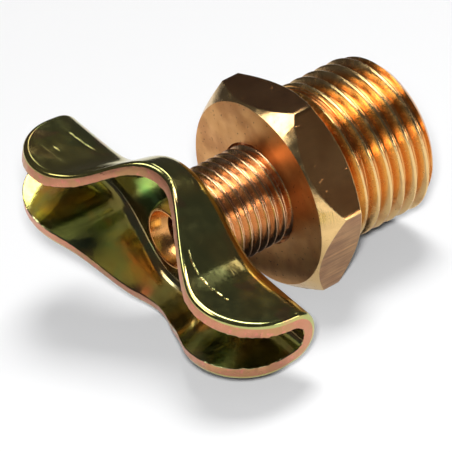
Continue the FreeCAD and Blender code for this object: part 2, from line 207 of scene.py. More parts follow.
class PetcockWing(bpy.types.PropertyGroup):
    turn: angle("Turn of the closed wing about the spindle", 15.3)
    sheet: length("Thickness of the sheet", 1.5)
    half_span: length("From the axis to the end of the wing", 18)
    fold_radius: length("Inside radius of the folds", 1.2)
    gap_middle: length("Half the gap between the leaves at the axis", 6.85)
    gap_end: length("Half the gap between the leaves at the ends", 1.38)
    gap_spread: length("How far the wide gap reaches along the wing", 6.45)
    gap_power: share("How sharply the gap narrows", 2.6)
    lean_middle: angle("Outward lean of the leaves at the axis", 16)
    lean_end: angle("Outward lean of the leaves at the ends", 6.5)
    lean_spread: length("How far the lean reaches along the wing", 10.5)
    lean_power: share("How sharply the lean falls off", 3)
    cut_lean: angle("Lean of the cut edge", 12)
    dip_depth: length("From the wing's back to the dip between the lobes", 5.87)
    dip_radius: length("Radius of the dip", 5.5)
    lobe_depth: length("From the wing's back to the lobes' centres", 3.85)
    lobe_radius: length("Radius of the lobes", 6.15)
    rolled_edge: length("Rounding of the edge's outer corner", 0.5)
    burr_edge: length("Rounding of the edge's inner corner", 0.07)
    burr: length("Height of the torn burr on the inner corner", 0.16)
    burr_step: length("Distance between two tears of the burr", 0.8)
    hole_gap: length("Clearance between the hole and the spindle's neck", 0.03)


class PetcockTints(bpy.types.PropertyGroup):
    brass: colour("Clean turned brass", (0.76, 0.40, 0.15))
    tarnish: colour("Brown skin on the brass", (0.56, 0.26, 0.09))
    # The crest tint is the thread's base brass; the groove tint is painted shade, a darker and more
    # orange copy laid in the grooves.
    crest: colour("Rubbed yellow brass of the thread", (0.84, 0.56, 0.24))
    groove: colour("Deeper tone in the thread's grooves", (0.72, 0.34, 0.11))
    speckle: colour("Dark speckles and drawn lines", (0.20, 0.09, 0.035))
    stem: colour("Coppery brass of the spindle", (0.78, 0.48, 0.27))
    # Painted shade: a darker copy of the spindle's brass for its thread grooves.
    stem_groove_painted_shade: colour("Tone in the spindle's grooves", (0.72, 0.40, 0.21))
    rivet: colour("Yellow brass of the riveted end", (0.80, 0.52, 0.16))
    scratch: colour("Bright scratches in the plating", (0.95, 0.80, 0.32))
    plating: colour("Yellow plating on the outside", (0.55, 0.48, 0.16))
    # Painted shade: a darker copy of the outside plating for the wing's inner faces.
    plating_inside_painted_shade: colour("Yellow plating on the inside", (0.38, 0.34, 0.17))
    plating_green: colour("Green tint in the plating", (0.28, 0.42, 0.18))
    plating_orange: colour("Orange tint in the plating", (0.64, 0.37, 0.13))
    plating_red: colour("Red tint in the plating", (0.75, 0.25, 0.20))
    # Painted glow: a pale green highlight painted on the inside beside the spindle.
    pale_green_painted_glow: colour("Pale green stain beside the spindle", (0.35, 0.62, 0.30))
    blush: colour("Red stain at the lower leaf's edge", (0.85, 0.25, 0.18))
    rust: colour("Orange stain beside the red one", (0.66, 0.33, 0.10))
    # A nearly black patch on the lower leaf's inside, darker than the plating round it.
    near_black_patch: colour("Nearly black stain on the lower leaf", (0.10, 0.12, 0.06))
    # Painted glow: a bright yellow highlight painted on the lower leaf's end.
    lemon_painted_glow: colour("Yellow stain on the lower leaf's end", (0.86, 0.80, 0.14))
    sheared: colour("Coppery tone of the cut edge", (0.58, 0.26, 0.15))
    sheared_gold: colour("Golden tone of the cut edge", (0.52, 0.28, 0.13))
    rubber: colour("Black rubber of the seal", (0.02, 0.02, 0.021))
    bloom: colour("Grey bloom on the rubber", (0.05, 0.05, 0.048))
    paper: colour("Pale paper of the floor", (0.9, 0.9, 0.9))


class PetcockStudio(bpy.types.PropertyGroup):
    azimuth: angle("Turn of the camera about the vertical", 56.74)
    elevation: angle("Height of the camera as an angle", 28.62)
    roll: angle("Turn of the camera about its own line of sight", -9.8)
    distance: length("From the camera to the point that it looks at", 494)
    target: bpy.props.FloatVectorProperty(
        description="Point at the middle of the picture",
        default=(-0.00264, -0.00718, -0.00335), unit="LENGTH")
    lens: share("Focal length in millimetres", 417.4)


def soft_floor(value, softness):
    """Zero below zero and the value above it, with a rounded bend."""
    if value > 20 * softness:
        return value
    return softness * math.log1p(math.exp(value / softness))


def thread_section(thread, pitch, depth, crest, shift=0, points=18):
    """Places along the axis and radii over one pitch, from one crest to the next."""
    section = []
    for number in range(points + 1):
        away = abs(number / points * 2 - 1) / 2
        from_crest = 0.5 - away
        fall = (from_crest - thread.crest / 2) / math.tan(thread.flank)
        sunk = soft_floor(fall, thread.softness) - soft_floor(fall - depth, thread.softness)
        section.append(((number / points - 0.5) * pitch + shift, crest - sunk * pitch))
    return section


def wind(bm, section, pitch, first, turns, steps):
    """A strip one pitch wide, given as places along the axis and radii, wound as a helix."""
    verts = [bm.verts.new((radius, first + along, 0)) for along, radius in section]
    edges = [bm.edges.new(pair) for pair in zip(verts, verts[1:])]
    bmesh.ops.spin(
        bm, geom=verts + edges, cent=(0, 0, 0), axis=(0, 1, 0), dvec=(0, pitch / steps, 0),
        angle=FULL_TURN, steps=steps, use_duplicate=False)
    one_turn = bm.verts[:] + bm.edges[:] + bm.faces[:]
    for turn in range(1, turns):
        copied = bmesh.ops.duplicate(bm, geom=one_turn)["geom"]
        moved = [item for item in copied if isinstance(item, bmesh.types.BMVert)]
        bmesh.ops.translate(bm, verts=moved, vec=(0, turn * pitch, 0))
    bmesh.ops.remove_doubles(bm, verts=bm.verts, dist=pitch * 1e-4)


def cut_between(bm, low, high, corners):
    """Keep what lies between two places along the axis, with edge loops at the corners."""
    for place, clear_low, clear_high in [(low, True, False), (high, False, True)] + [
            (corner, False, False) for corner in corners]:
        bmesh.ops.bisect_plane(
            bm, geom=bm.verts[:] + bm.edges[:] + bm.faces[:], dist=MM * 1e-4,
            plane_co=(0, place, 0), plane_no=(0, 1, 0),
            clear_inner=clear_low, clear_outer=clear_high)


def along_profile(profile, place):
    """Radius of a turned profile, given as places and radii, at one place."""
    if place <= profile[0][0]:
        return profile[0][1]
    for (low, first), (high, second) in zip(profile, profile[1:]):
        if place <= high:
            return first + (second - first) * (place - low) / (high - low)
    return profile[-1][1]


def trim(bm, profile, hold):
    """Cut a thread to a turned profile and hold it inside it (min) or outside it (max)."""
    places = [place for place, _ in profile]
    cut_between(bm, places[0], places[-1], places[1:-1])
    for vert in bm.verts:
        now = math.hypot(vert.co.x, vert.co.z)
        radius = hold(now, along_profile(profile, vert.co.y))
        vert.co.x *= radius / now
        vert.co.z *= radius / now


def open_ring(bm, place):
    """Edges of the open rim that lies at one place along the axis."""
    return [
        edge for edge in bm.edges
        if edge.is_boundary and all(abs(vert.co.y - place) < TOUCH for vert in edge.verts)
    ]


def turn_on(bm, edges, stations):
    """Carry an open ring on through radii and places; both may follow the angle or the radius."""
    for radius, place in stations:
        grown = bmesh.ops.extrude_edge_only(bm, edges=edges)["geom"]
        edges = [item for item in grown if isinstance(item, bmesh.types.BMEdge)]
        for vert in (item for item in grown if isinstance(item, bmesh.types.BMVert)):
            around = math.atan2(vert.co.z, vert.co.x)
            reach = radius(around) if callable(radius) else radius
            along = place(reach) if callable(place) else place
            vert.co = (reach * math.cos(around), along, reach * math.sin(around))
    return edges


def close_with_point(bm, edges, place):
    """Close a ring with a cone or a flat whose point lies on the axis."""
    grown = bmesh.ops.extrude_edge_only(bm, edges=edges)["geom"]
    verts = [item for item in grown if isinstance(item, bmesh.types.BMVert)]
    bmesh.ops.pointmerge(bm, verts=verts, merge_co=(0, place, 0))


def make_object(name, bm, paints, body, replaced):
    """Turn a mesh into a piece that rides a body and stands for a solid of the frame."""
    bmesh.ops.recalc_face_normals(bm, faces=bm.faces)
    mesh = bpy.data.meshes.new(name)
    bm.to_mesh(mesh)
    bm.free()
    for paint in paints:
        mesh.materials.append(paint)
    mesh.shade_smooth()
    mesh.set_sharp_from_angle(angle=SHARP_ANGLE)
    piece = bpy.data.objects.new(name, mesh)
    bpy.context.collection.objects.link(piece)
    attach(piece, body)
    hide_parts(replaced)
    return piece


def hexagon_reach(around):
    """Distance from the axis to the hexagon at one angle; its corners are at 0, 60, 120 ..."""
    sixth = FULL_TURN / 6
    return BODY_HIGH.z / math.cos(around % sixth - sixth / 2)


def wind_body_thread(bm, sizes, thread, steps=180):
    """The outside thread, with its relief and end chamfer."""
    crest = MOUNTS["body_thread"]["dims"]["r_mm"] * MM
    end = BODY_HIGH.y
    section = thread_section(thread, sizes.pitch, thread.depth, crest)
    first = sizes.start - sizes.pitch / 4 - 2 * sizes.pitch
    turns = math.ceil((end - first) / sizes.pitch) + 1
    wind(bm, section, sizes.pitch, first, turns, steps)
    floor = crest - sizes.relief
    trim(bm, [
        (0, floor), (sizes.relief_end, floor), (sizes.relief_end + sizes.relief_ramp, crest),
        (end - sizes.chamfer, crest), (end, crest - sizes.chamfer),
    ], min)


def wind_nut_thread(bm, sizes, thread, spindle, steps=120):
    """The inside thread, wound with the spindle's own phase and opened by the thread gap."""
    crest = SPINDLE_HIGH.x
    narrow = crest - thread.nut_depth * spindle.pitch
    section = thread_section(
        thread, spindle.pitch, thread.nut_depth, crest + thread.gap, shift=spindle.pitch / 2)
    front = BODY_LOW.y
    back = sizes.nut_end + sizes.chamber - sizes.nut_step - narrow
    turns_before = math.floor((front - spindle.start) / spindle.pitch) - 1
    first = spindle.start - spindle.pitch / 4 + (turns_before - 0.5) * spindle.pitch
    turns = math.ceil((back - first) / spindle.pitch) + 2
    wind(bm, section, spindle.pitch, first, turns, steps)
    trim(bm, [
        (front, sizes.mouth), (front + sizes.mouth - narrow, narrow),
        (sizes.nut_end, narrow), (back, sizes.chamber - sizes.nut_step),
    ], max)
    return back


def round_hexagon(bm, sizes):
    """Wear the hexagon's edges and the rims of its chamfers."""
    corner = hexagon_reach(0)

    def at_corner(vert):
        return math.hypot(vert.co.x, vert.co.z) > corner - MM * 1e-2

    def on_rim(vert):
        around = math.atan2(vert.co.z, vert.co.x)
        reach = math.hypot(vert.co.x, vert.co.z)
        return abs(reach - hexagon_reach(around)) < TOUCH and vert.co.y < 0

    worn = [
        edge for edge in bm.edges
        if all(on_rim(vert) for vert in edge.verts)
        and (all(at_corner(vert) for vert in edge.verts) or edge.calc_face_angle(0) > WORN_ANGLE)
    ]
    bmesh.ops.bevel(
        bm, geom=worn, offset=sizes.worn_edge, offset_type="OFFSET", segments=2, profile=0.5,
        affect="EDGES", clamp_overlap=True, material=-1)


def build_body(sizes, thread, spindle):
    """The brass body: thread, hexagon and bore outside in, closed by the nut thread."""
    outside = bmesh.new()
    wind_body_thread(outside, sizes, thread)
    front = BODY_LOW.y
    seat = SEAL_HIGH.y
    turn_on(outside, open_ring(outside, 0), [
        (sizes.seat_land, 0),
        (hexagon_reach, lambda reach: (sizes.seat_land - reach) * sizes.seat_slope),
        (hexagon_reach, lambda reach: front + (reach - sizes.front_land) * sizes.front_slope),
        (sizes.front_land, front),
    ])
    bore = turn_on(outside, open_ring(outside, BODY_HIGH.y), [
        (sizes.inlet + sizes.inlet_edge, BODY_HIGH.y),
        (sizes.inlet, BODY_HIGH.y - sizes.inlet_edge),
        (sizes.inlet, seat),
        (sizes.chamber, seat),
    ])
    nut = bmesh.new()
    back = wind_nut_thread(nut, sizes, thread, spindle)
    turn_on(outside, bore, [(sizes.chamber, back)])
    kept = bpy.data.meshes.new("nut_thread")
    nut.to_mesh(kept)
    nut.free()
    outside.from_mesh(kept)
    bpy.data.meshes.remove(kept)
    for place in (front, back):
        bmesh.ops.triangle_fill(
            outside, edges=open_ring(outside, place), use_beauty=True, use_dissolve=False,
            normal=(0, 1, 0))
    round_hexagon(outside, sizes)
    return outside


def wind_spindle_thread(bm, sizes, thread, steps=144):
    """The spindle's thread, from the wing's back to the run-out at the shank."""
    crest = SPINDLE_HIGH.x
    root = crest - thread.depth * sizes.pitch
    shoulder = WING_HIGH.y
    end = sizes.thread_end + sizes.runout
    section = thread_section(thread, sizes.pitch, thread.depth, crest)
    first = sizes.start - sizes.pitch / 4
    turns = math.ceil((end - first) / sizes.pitch) + 1
    wind(bm, section, sizes.pitch, first, turns, steps)
    trim(bm, [
        (shoulder, root - MM * 0.02), (shoulder + crest - root, crest),
        (sizes.thread_end, crest), (end, sizes.shank),
    ], min)


def build_spindle(sizes, thread, wing):
    """The hollow spindle: thread, riveted end and bore, then the shank and the seal's neck."""
    bm = bmesh.new()
    wind_spindle_thread(bm, sizes, thread)
    shoulder = WING_HIGH.y
    sheet_face = shoulder - wing.sheet
    tip = SPINDLE_LOW.y
    bore = MOUNTS["drain_outlet"]["dims"]["r_mm"] * MM

    def neck(around):
        rise = abs(math.sin(around + wing.turn))
        return min(sizes.neck, sizes.flats / max(rise, 0.1))

    ring = turn_on(bm, open_ring(bm, shoulder), [
        (neck, shoulder), (neck, sheet_face), (sizes.rivet_base, sheet_face),
        (sizes.rivet_base, sheet_face - sizes.rivet_edge),
        (sizes.rivet_face, tip + sizes.rivet_edge),
        (sizes.rivet_face - sizes.rivet_round, tip + sizes.rivet_round),
        (sizes.rivet_face - 3 * sizes.rivet_round, tip),
        (sizes.flare + sizes.flare_lip, tip),
        (sizes.flare, tip + sizes.flare_round),
        (sizes.flare - sizes.flare_taper, tip + sizes.flare_depth * 0.7),
        (bore, tip + sizes.flare_depth),
        (bore, sizes.drill_end),
    ])
    close_with_point(bm, ring, sizes.drill_end + sizes.drill_point)
    seat = SEAL_HIGH.y + sizes.seal_gap
    back = SEAL_LOW.y - sizes.seal_gap
    end = SPINDLE_HIGH.y
    ring = turn_on(bm, open_ring(bm, sizes.thread_end + sizes.runout), [
        (sizes.shank, back - sizes.edge), (sizes.shank - sizes.edge, back),
        (sizes.seal_neck, back), (sizes.seal_neck, seat),
        (sizes.seal_head, seat), (sizes.seal_head, end - sizes.edge),
        (sizes.seal_head - sizes.edge, end),
    ])
    close_with_point(bm, ring, end)
    return bm


def drill(piece, cutters):
    """Cut other meshes out of a piece and keep the result as its mesh."""
    for cutter in cutters:
        cut = piece.modifiers.new("hole", "BOOLEAN")
        cut.operation = "DIFFERENCE"
        cut.solver = "EXACT"
        cut.object = cutter
    evaluated = piece.evaluated_get(bpy.context.evaluated_depsgraph_get())
    piece.data = bpy.data.meshes.new_from_object(evaluated)
    piece.modifiers.clear()
    for cutter in cutters:
        bpy.data.objects.remove(cutter)


def rod(radius, half_length, turn, place, flat=None):
    """A round cutter, with flats where the hole has them."""
    bm = bmesh.new()
    bmesh.ops.create_cone(
        bm, cap_ends=True, segments=64, radius1=radius, radius2=radius, depth=2 * half_length)
    if flat:
        for vert in bm.verts:
            vert.co.y = max(-flat, min(flat, vert.co.y))
    bm.transform(Matrix.Translation(place) @ turn)
    mesh = bpy.data.meshes.new("cutter")
    bm.to_mesh(mesh)
    bm.free()
    cutter = bpy.data.objects.new("cutter", mesh)
    bpy.context.collection.objects.link(cutter)
    return cutter


class Fold:
    """The sheet of the wing as a flat blank and as the folded form that it is pressed into."""

    def __init__(self, sizes):
        self.sizes = sizes
        self.back = WING_HIGH.y
        self.middle_radius = sizes.fold_radius + sizes.sheet / 2
        self.bend_y = self.back - sizes.sheet - sizes.fold_radius
        self.lobe = Vector((sizes.half_span - sizes.lobe_radius, self.back - sizes.lobe_depth))
        self.dip = Vector((0, self.back - sizes.dip_depth - sizes.dip_radius))
        between = self.lobe - self.dip
        reach = (sizes.dip_radius + sizes.lobe_radius) / between.length
        self.slope_turn = math.atan2(between.y, between.x) + math.acos(reach)

    def section(self, along):
        """Half the straight back, the lean and the bend's length of the hairpin at one place."""
        sizes = self.sizes
        narrow = math.exp(-(abs(along) / sizes.gap_spread) ** sizes.gap_power)
        gap = sizes.gap_end + (sizes.gap_middle - sizes.gap_end) * narrow
        fall = math.exp(-(abs(along) / sizes.lean_spread) ** sizes.lean_power)
        lean = sizes.lean_end + (sizes.lean_middle - sizes.lean_end) * fall
        return gap - sizes.fold_radius, lean, self.middle_radius * (math.pi / 2 - lean)

    def bent(self, along, travel, rise):
        """Point of the folded sheet at a distance along it from its middle line, and above it."""
        side = 1 if travel >= 0 else -1
        straight, lean, bend = self.section(along)
        travel = abs(travel)
        if travel <= straight:
            return Vector((along, self.bend_y + self.middle_radius + rise, side * travel))
        if travel <= straight + bend:
            turn = (travel - straight) / self.middle_radius
            reach = self.middle_radius + rise
            return Vector((
                along, self.bend_y + reach * math.cos(turn),
                side * (straight + reach * math.sin(turn))))
        over = travel - straight - bend
        reach = self.middle_radius + rise
        y = self.bend_y + reach * math.sin(lean) - over * math.cos(lean)
        z = straight + reach * math.cos(lean) + over * math.sin(lean)
        return Vector((along, y, side * z))

    def cut_line(self, along):
        """Place of the blank's cut edge on the fold's mid plane."""
        sizes = self.sizes
        along = min(abs(along), sizes.half_span)
        normal = Vector((math.cos(self.slope_turn), math.sin(self.slope_turn)))
        dip_end = self.dip + normal * sizes.dip_radius
        lobe_start = self.lobe - normal * sizes.lobe_radius
        if along <= dip_end.x:
            return self.dip.y + math.sqrt(sizes.dip_radius ** 2 - along ** 2)
        if along <= lobe_start.x:
            part = (along - dip_end.x) / (lobe_start.x - dip_end.x)
            return dip_end.y + (lobe_start.y - dip_end.y) * part
        return self.lobe.y - math.sqrt(max(0, sizes.lobe_radius ** 2 - (along - self.lobe.x) ** 2))

    def half_length(self, along):
        """Length of the sheet from its middle line to the cut edge."""
        straight, lean, bend = self.section(along)
        foot_y = self.bend_y + self.middle_radius * math.sin(lean)
        foot_z = straight + self.middle_radius * math.cos(lean)
        slant = math.tan(self.sizes.cut_lean)
        leaf = (foot_y - self.cut_line(along) - foot_z * slant) / (
            math.cos(lean) + math.sin(lean) * slant)
        return straight + bend + leaf

    def edge_point(self, part):
        """Point of the blank's edge, from the dip (0) over the lobe (1) to the end's middle (2)."""
        corner = math.radians(45)
        corner_x = self.lobe.x + self.sizes.lobe_radius * math.sin(corner)
        if part <= 1:
            along = corner_x * part
            return Vector((along, self.half_length(along)))
        start = self.half_length(corner_x)
        straight_end = self.half_length(self.sizes.half_span)
        travel = start * (2 - part)
        if travel <= straight_end:
            return Vector((self.sizes.half_span, travel))
        low, high = corner_x, self.sizes.half_span
        for _ in range(HALVINGS):
            middle = (low + high) / 2
            if self.half_length(middle) > travel:
                low = middle
            else:
                high = middle
        return Vector((low, travel))

    def blank_point(self, u, v):
        """Point of the flat quarter blank, blended from its four sides."""
        top = self.edge_point(u)
        right = self.edge_point(2 - v)
        bottom = Vector((self.sizes.half_span * u, 0))
        left = Vector((0, self.half_length(0) * v))
        corner = self.edge_point(1)
        flat = bottom * (1 - v) + top * v + left * (1 - u) + right * u
        return flat - (
            Vector((self.sizes.half_span, 0)) * u * (1 - v)
            + Vector((0, self.half_length(0))) * (1 - u) * v
            + corner * u * v)


def graded(count, share_at_edge=0.6):
    """Even steps over most of a side that tighten towards its edge, from 0 to 1."""
    steps = []
    for number in range(count + 1):
        part = number / count
        steps.append(part + share_at_edge * math.sin(math.pi * part) / math.pi)
    return steps


def lay_out(bm, fold, columns, rows):
    """Side, place on the flat blank and distance from its edge for each point of a grid."""
    across = graded(columns)
    upward = graded(rows)
    tree = kdtree.KDTree(EDGE_SAMPLES + 1)
    for number in range(EDGE_SAMPLES + 1):
        tree.insert((*fold.edge_point(2 * number / EDGE_SAMPLES), 0), number)
    tree.balance()
    flat = {}
    for vert in bm.verts:
        column = round(abs(vert.co.x) * columns)
        row = round(abs(vert.co.y) * rows)
        if (column, row) not in flat:
            spot = fold.blank_point(across[column], upward[row])
            on_edge = column == columns or row == rows
            inward = 0 if on_edge else tree.find((*spot, 0))[2]
            flat[column, row] = (*spot, inward)
    return {
        vert.index: (
            math.copysign(1, vert.co.x), math.copysign(1, vert.co.y),
            *flat[round(abs(vert.co.x) * columns), round(abs(vert.co.y) * rows)])
        for vert in bm.verts
    }


def rounding(inward, radius):
    """How far a rounded corner falls at a distance in from the edge."""
    if inward >= radius:
        return 0
    return radius - math.sqrt(radius ** 2 - (radius - inward) ** 2)


def build_wing(sizes, columns=90, rows=56):
    """The folded wing: two skins of the bent sheet, joined round their edge."""
    fold = Fold(sizes)
    bm = bmesh.new()
    bmesh.ops.create_grid(bm, x_segments=2 * columns, y_segments=2 * rows, size=1)
    bm.verts.index_update()
    layout = lay_out(bm, fold, columns, rows)
    count = len(bm.verts)
    bmesh.ops.duplicate(bm, geom=bm.verts[:] + bm.edges[:] + bm.faces[:])
    bm.verts.index_update()
    half = sizes.sheet / 2
    sheet_map = bm.loops.layers.uv.new("sheet")
    for face in bm.faces:
        face.material_index = int(face.verts[0].index >= count)
        for loop in face.loops:
            x_side, z_side, along, travel, _ = layout[loop.vert.index % count]
            loop[sheet_map].uv = (x_side * along, z_side * travel)
    for vert in bm.verts:
        outer = vert.index < count
        x_side, z_side, along, travel, inward = layout[vert.index % count]
        if outer:
            rise = half - rounding(inward, sizes.rolled_edge)
        else:
            rise = rounding(inward, sizes.burr_edge) - half
            if inward < sizes.burr_edge / 2:
                spot = Vector((x_side * along, z_side * travel, 0)) / sizes.burr_step
                rise -= sizes.burr * max(0, noise.fractal(spot, 0.6, 2, 3))
        vert.co = fold.bent(x_side * along, z_side * travel, rise)
    rim = bmesh.ops.bridge_loops(bm, edges=[edge for edge in bm.edges if edge.is_boundary])
    for face in rim["faces"]:
        face.material_index = 2
    bm.transform(Matrix.Rotation(sizes.turn, 4, "Y"))
    return bm


class Finish:
    """One material, built up from its base colour with grain, stains and tool marks."""

    def __init__(self, name, tint, metallic=1, roughness=0.3):
        self.material = bpy.data.materials.new(name)
        self.material.use_nodes = True
        self.tree = self.material.node_tree
        self.shader = self.tree.nodes["Principled BSDF"]
        self.shader.inputs["Base Color"].default_value = (*tint, 1)
        self.shader.inputs["Metallic"].default_value = metallic
        self.shader.inputs["Roughness"].default_value = roughness
        self.tint = None
        self.relief = None

    def feed(self, socket, value):
        """Give a socket another node's output or a plain value."""
        if isinstance(value, bpy.types.NodeSocket):
            self.tree.links.new(value, socket)
        else:
            socket.default_value = value

    def add(self, kind, inputs, **settings):
        """Add a node, with inputs and settings by name."""
        node = self.tree.nodes.new(kind)
        for name, value in settings.items():
            setattr(node, name, value)
        for name, value in inputs.items():
            self.feed(node.inputs[name], value)
        return node

    def calculate(self, operation, *values):
        """Result of one step of arithmetic."""
        node = self.add("ShaderNodeMath", {}, operation=operation)
        for socket, value in zip(node.inputs, values):
            self.feed(socket, value)
        return node.outputs["Value"]

    def times(self, first, second):
        return self.calculate("MULTIPLY", first, second)

    def millimetres(self, stretch=(1, 1, 1), source="Object"):
        """Coordinates in millimetres, drawn out along an axis whose stretch is small."""
        place = self.add("ShaderNodeTexCoord", {}).outputs[source]
        scale = [factor / MM for factor in stretch]
        return self.add("ShaderNodeMapping", {"Vector": place, "Scale": scale}).outputs["Vector"]

    def from_axis(self):
        """Distance from the piece's own axis in millimetres."""
        across = self.millimetres((1, 0, 1))
        return self.add(
            "ShaderNodeVectorMath", {"Vector": across}, operation="LENGTH").outputs["Value"]

    def along_axis(self):
        """Place along the piece's own axis in millimetres."""
        place = self.millimetres()
        return self.add("ShaderNodeSeparateXYZ", {"Vector": place}).outputs["Y"]

    def clouds(self, place, scale, detail=3, roughness=0.5, distortion=0):
        """Soft irregular noise from 0 to 1."""
        return self.add("ShaderNodeTexNoise", {
            "Vector": place, "Scale": scale, "Detail": detail, "Roughness": roughness,
            "Distortion": distortion}).outputs["Fac"]

    def lines(self, value, scale, detail=4):
        """Irregular tool lines that depend on one distance only."""
        return self.add("ShaderNodeTexNoise", {
            "W": value, "Scale": scale, "Detail": detail, "Roughness": 0.7},
            noise_dimensions="1D").outputs["Fac"]

    def between(self, value, low, high, first=0, last=1):
        """Pass smoothly from the first to the last result as a value goes from low to high."""
        return self.add("ShaderNodeMapRange", {
            "Value": value, "From Min": low, "From Max": high, "To Min": first, "To Max": last},
            interpolation_type="SMOOTHSTEP").outputs["Result"]

    def near(self, spot, reach):
        """One at a spot of the piece, given in millimetres, that fades out over its reach."""
        away = self.add("ShaderNodeVectorMath", {}, operation="DISTANCE")
        self.feed(away.inputs[0], self.millimetres())
        self.feed(away.inputs[1], spot)
        return self.between(away.outputs["Value"], 0, reach, 1, 0)

    def scratch(self, start, end, width):
        """One along a straight scratch between two places of the flat sheet, in millimetres."""
        way = Vector(end) - Vector(start)
        turn = -math.atan2(way.y, way.x)
        moved = Matrix.Rotation(turn, 2) @ Vector(start)
        laid = self.add("ShaderNodeMapping", {
            "Vector": self.millimetres(source="UV"), "Rotation": (0, 0, turn),
            "Location": (-moved.x, -moved.y, 0)}).outputs["Vector"]
        split = self.add("ShaderNodeSeparateXYZ", {"Vector": laid}).outputs
        off = self.calculate("ABSOLUTE", split["Y"])
        fade = 4 * width
        inside = self.times(
            self.between(split["X"], 0, fade),
            self.between(split["X"], way.length - fade, way.length, 1, 0))
        return self.times(inside, self.between(off, 0, width, 1, 0))

    def ripple(self, value, step):
        """Even waves along a distance in millimetres."""
        return self.calculate("SINE", self.times(value, FULL_TURN / step))

    def stain(self, cover, tint):
        """Lay another colour over the surface where the cover is high."""
        base = self.tint
        if base is None:
            base = tuple(self.shader.inputs["Base Color"].default_value)
        node = self.add("ShaderNodeMix", {"Factor": cover}, data_type="RGBA")
        colours = [socket for socket in node.inputs if socket.type == "RGBA"]
        self.feed(colours[0], base)
        self.feed(colours[1], (*tint, 1))
        self.tint = next(socket for socket in node.outputs if socket.type == "RGBA")
        self.tree.links.new(self.tint, self.shader.inputs["Base Color"])

    def polish(self, cover, low, high):
        """Let the roughness drift between two values."""
        rough = self.between(cover, 0.25, 0.75, low, high)
        self.tree.links.new(rough, self.shader.inputs["Roughness"])

    def mark(self, height, depth, strength=1):
        """Raise or sink the surface by a height from 0 to 1, over a depth in millimetres."""
        links = {"Height": height, "Distance": depth * MM, "Strength": strength}
        if self.relief is not None:
            links["Normal"] = self.relief
        self.relief = self.add("ShaderNodeBump", links).outputs["Normal"]
        self.tree.links.new(self.relief, self.shader.inputs["Normal"])


def faced_brass(tints):
    """Matte turned face with rings round the axis, brown clouds and dark speckles."""
    finish = Finish("faced_brass", tints.brass, roughness=0.4)
    place = finish.millimetres()
    cloud = finish.clouds(place, 0.22, 4)
    finish.stain(finish.between(cloud, 0.42, 0.62), tints.tarnish)
    speckle = finish.between(finish.clouds(place, 3.2, 2), 0.66, 0.74)
    finish.stain(speckle, tints.speckle)
    rings = finish.lines(finish.from_axis(), 7)
    finish.polish(finish.clouds(place, 0.6, 3), 0.34, 0.5)
    finish.mark(rings, 0.012, 0.6)
    finish.mark(finish.clouds(place, 5, 3), 0.01, 0.5)
    return finish.material


def drawn_brass(tints):
    """Bar stock left on the hexagon's flats: fine lines along the axis and a brown skin."""
    finish = Finish("drawn_brass", tints.brass, roughness=0.3)
    place = finish.millimetres()
    finish.stain(finish.between(finish.clouds(place, 0.3, 3), 0.35, 0.65), tints.tarnish)
    drawn = finish.clouds(finish.millimetres((1, 0.03, 1)), 6, 5, 0.7)
    finish.stain(finish.between(drawn, 0.3, 0.65, 0.1, 0.7), tints.speckle)
    finish.polish(drawn, 0.15, 0.24)
    finish.mark(drawn, 0.004, 0.7)
    nick = finish.between(finish.clouds(finish.millimetres((1, 0.4, 1)), 1.7, 2), 0.7, 0.76, 1, 0)
    finish.mark(nick, 0.03, 0.6)
    return finish.material


def turned_brass(tints, name, tint, painted_shade_tint, crest, chatter=None):
    """Bright turned brass with tool lines round the axis and painted shade, a deeper tone, in the
    grooves.
    """
    finish = Finish(name, tint, roughness=0.22)
    place = finish.millimetres()
    # Painted shade: surfaces below the crest radius fade into the darker groove tint.
    groove = finish.between(finish.from_axis(), crest - 0.75, crest - 0.1, 1, 0)
    finish.stain(groove, painted_shade_tint)
    cloud = finish.clouds(place, 0.35, 4)
    finish.stain(finish.between(cloud, 0.5, 0.72, 0, 0.7), tints.tarnish)
    pit = finish.between(finish.clouds(place, 4.5, 2), 0.7, 0.78)
    finish.stain(pit, tints.speckle)
    finish.polish(finish.clouds(place, 1.1, 4), 0.15, 0.3)
    finish.mark(finish.lines(finish.along_axis(), 5), 0.012, 0.7)
    finish.mark(finish.clouds(place, 2.6, 3), 0.012, 0.5)
    if chatter:
        low, high, step, depth = (size / MM for size in chatter)
        along = finish.along_axis()
        zone = finish.times(
            finish.between(along, low, low + step), finish.between(along, high - step, high, 1, 0))
        finish.mark(finish.times(finish.ripple(along, step), zone), depth, 0.8)
    return finish.material


